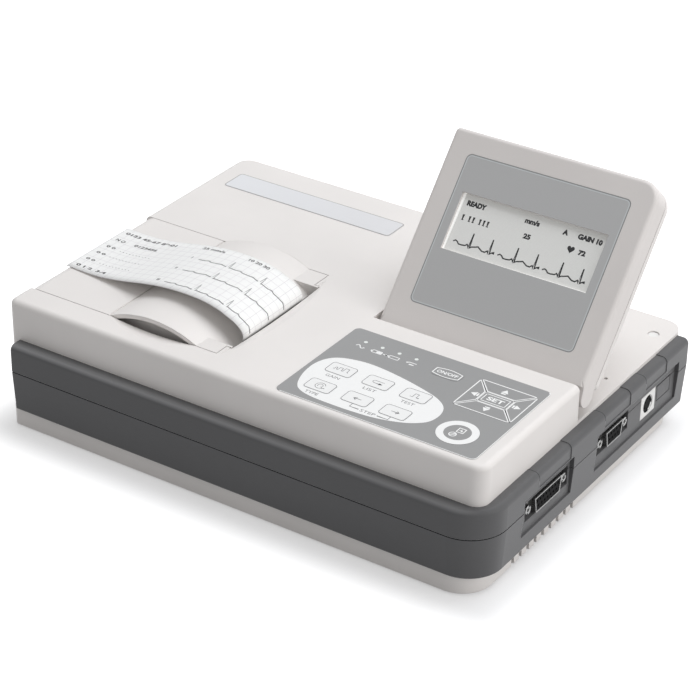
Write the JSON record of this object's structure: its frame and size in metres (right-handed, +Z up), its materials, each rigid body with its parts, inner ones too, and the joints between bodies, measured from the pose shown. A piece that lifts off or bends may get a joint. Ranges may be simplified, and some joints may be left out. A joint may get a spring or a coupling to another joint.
{
  "type": "electrocardiograph",
  "caption": "Portable electrocardiograph: low case with dark side bands, fold-back display, membrane keypad, paper recorder with arched door, and side sockets.",
  "frame": {"origin": "middle of the footprint, on the surface that the rubber feet stand on", "axes": "+X to the right as the operator sees it, +Y away from the operator, +Z up; the display is stored raised"},
  "size_m": [0.28, 0.208, 0.1451],
  "materials": {
    "case_light": "fine satin texture",
    "bezel_grey": "fine satin texture",
    "band_dark": "fine textured",
    "overlay_grey": "smooth film",
    "key_light": "smooth film",
    "key_grey": "smooth film",
    "name_plate": "smooth film",
    "screen": "smooth",
    "lights": "clear",
    "rubber": "matt",
    "steel": "plain",
    "plated": "plated",
    "brass": "plain",
    "panel_metal": "satin",
    "motor_metal": "plain",
    "board": "glass fibre board",
    "paper": "thermal paper",
    "black_plastic": "plain",
    "white_plastic": "plain",
    "tray_plastic": "plain",
    "ceramic": "glazed line",
    "battery_wrap": "shrink wrap",
    "rocker_red": "smooth"
  },
  "bodies": {
    "case": {"base_shell": "case_light", "top_cover": "case_light", "battery_cover": "case_light", "lower_band": "band_dark", "upper_band": "band_dark", "keypad_overlay": "overlay_grey", "name_plate": "name_plate", "status_lights": "lights", "rubber_feet": "rubber", "case_screws": "steel", "door_pin": "steel", "hinge_brackets": "steel", "tear_bar": "steel", "head_spring": "steel", "socket_shells": "plated", "jack_screws": "plated", "earth_stud": "brass", "power_panel": "panel_metal", "feed_motor": "motor_metal", "keypad_board": "board", "main_board": "board", "power_supply": "board", "paper_web": "paper", "socket_inserts": "black_plastic", "mains_inlet": "black_plastic", "switch_housing": "black_plastic", "aux_socket": "white_plastic", "recorder_tray": "tray_plastic", "print_head": "ceramic", "battery_pack": "battery_wrap"},
    "display": {"display_bezel": "bezel_grey", "display_back": "case_light", "display_overlay": "overlay_grey", "screen_panel": "screen", "screen_board": "board", "display_screws": "steel", "display_pins": "steel"},
    "door": {"recorder_door": "case_light", "platen_bushes": "brass", "paper_strip": "paper"},
    "platen": {"platen_roller": "rubber", "platen_shaft": "steel", "platen_gear": "white_plastic"},
    "pinion": {"motor_pinion": "brass"},
    "roll": {"paper_roll": "paper", "paper_spindle": "black_plastic"},
    "mains_rocker": {"rocker": "rocker_red"},
    "key_a1": {"key_a1": "key_light"},
    "key_a2": {"key_a2": "key_light"},
    "key_a3": {"key_a3": "key_light"},
    "key_b1": {"key_b1": "key_light"},
    "key_b2": {"key_b2": "key_light"},
    "key_b3": {"key_b3": "key_light"},
    "key_power": {"key_power": "key_grey"},
    "key_start": {"key_start": "key_grey"},
    "key_menu": {"key_menu": "key_grey"},
    "key_right": {"key_right": "key_grey"},
    "key_left": {"key_left": "key_grey"},
    "key_up": {"key_up": "key_grey"},
    "key_down": {"key_down": "key_grey"}
  },
  "joints": [
    {"name": "display_tilt", "type": "hinge", "parent": "case", "child": "display", "pos_m": [0.0774, -0.00226, 0.061], "axis": [1, 0, 0], "range_deg": [-48.8, 12]},
    {"name": "door_open", "type": "hinge", "parent": "case", "child": "door", "pos_m": [-0.134, -0.033, 0.063], "axis": [0, -1, 0], "range_deg": [0, 80]},
    {"name": "platen_spin", "type": "hinge", "parent": "door", "child": "platen", "pos_m": [-0.033, -0.037, 0.0575], "axis": [0, 1, 0], "continuous": true},
    {"name": "pinion_spin", "type": "hinge", "parent": "case", "child": "pinion", "pos_m": [-0.03352, -0.0005, 0.04791], "axis": [0, 1, 0], "continuous": true},
    {"name": "roll_spin", "type": "hinge", "parent": "case", "child": "roll", "pos_m": [-0.092, -0.037, 0.038], "axis": [0, 1, 0], "continuous": true},
    {"name": "mains_switch", "type": "hinge", "parent": "case", "child": "mains_rocker", "pos_m": [-0.1275, 0.083, 0.033], "axis": [0, 0, 1], "range_deg": [-16, 0]},
    {"name": "key_a1_press", "type": "slide", "parent": "case", "child": "key_a1", "axis": [0, 0, -1], "range_m": [0, 0.0004], "stiffness_N_per_m": 1500},
    {"name": "key_a2_press", "type": "slide", "parent": "case", "child": "key_a2", "axis": [0, 0, -1], "range_m": [0, 0.0004], "stiffness_N_per_m": 1500},
    {"name": "key_a3_press", "type": "slide", "parent": "case", "child": "key_a3", "axis": [0, 0, -1], "range_m": [0, 0.0004], "stiffness_N_per_m": 1500},
    {"name": "key_b1_press", "type": "slide", "parent": "case", "child": "key_b1", "axis": [0, 0, -1], "range_m": [0, 0.0004], "stiffness_N_per_m": 1500},
    {"name": "key_b2_press", "type": "slide", "parent": "case", "child": "key_b2", "axis": [0, 0, -1], "range_m": [0, 0.0004], "stiffness_N_per_m": 1500},
    {"name": "key_b3_press", "type": "slide", "parent": "case", "child": "key_b3", "axis": [0, 0, -1], "range_m": [0, 0.0004], "stiffness_N_per_m": 1500},
    {"name": "key_power_press", "type": "slide", "parent": "case", "child": "key_power", "axis": [0, 0, -1], "range_m": [0, 0.0004], "stiffness_N_per_m": 1500},
    {"name": "key_start_press", "type": "slide", "parent": "case", "child": "key_start", "axis": [0, 0, -1], "range_m": [0, 0.0004], "stiffness_N_per_m": 1500},
    {"name": "key_menu_press", "type": "slide", "parent": "case", "child": "key_menu", "axis": [0, 0, -1], "range_m": [0, 0.0004], "stiffness_N_per_m": 1500},
    {"name": "key_right_press", "type": "slide", "parent": "case", "child": "key_right", "axis": [0, 0, -1], "range_m": [0, 0.0004], "stiffness_N_per_m": 1500},
    {"name": "key_left_press", "type": "slide", "parent": "case", "child": "key_left", "axis": [0, 0, -1], "range_m": [0, 0.0004], "stiffness_N_per_m": 1500},
    {"name": "key_up_press", "type": "slide", "parent": "case", "child": "key_up", "axis": [0, 0, -1], "range_m": [0, 0.0004], "stiffness_N_per_m": 1500},
    {"name": "key_down_press", "type": "slide", "parent": "case", "child": "key_down", "axis": [0, 0, -1], "range_m": [0, 0.0004], "stiffness_N_per_m": 1500}
  ],
  "couplings": [
    {"joint": "pinion_spin", "follows": "platen_spin", "ratio": -1.4},
    {"joint": "roll_spin", "follows": "platen_spin", "ratio": -0.28571}
  ]
}
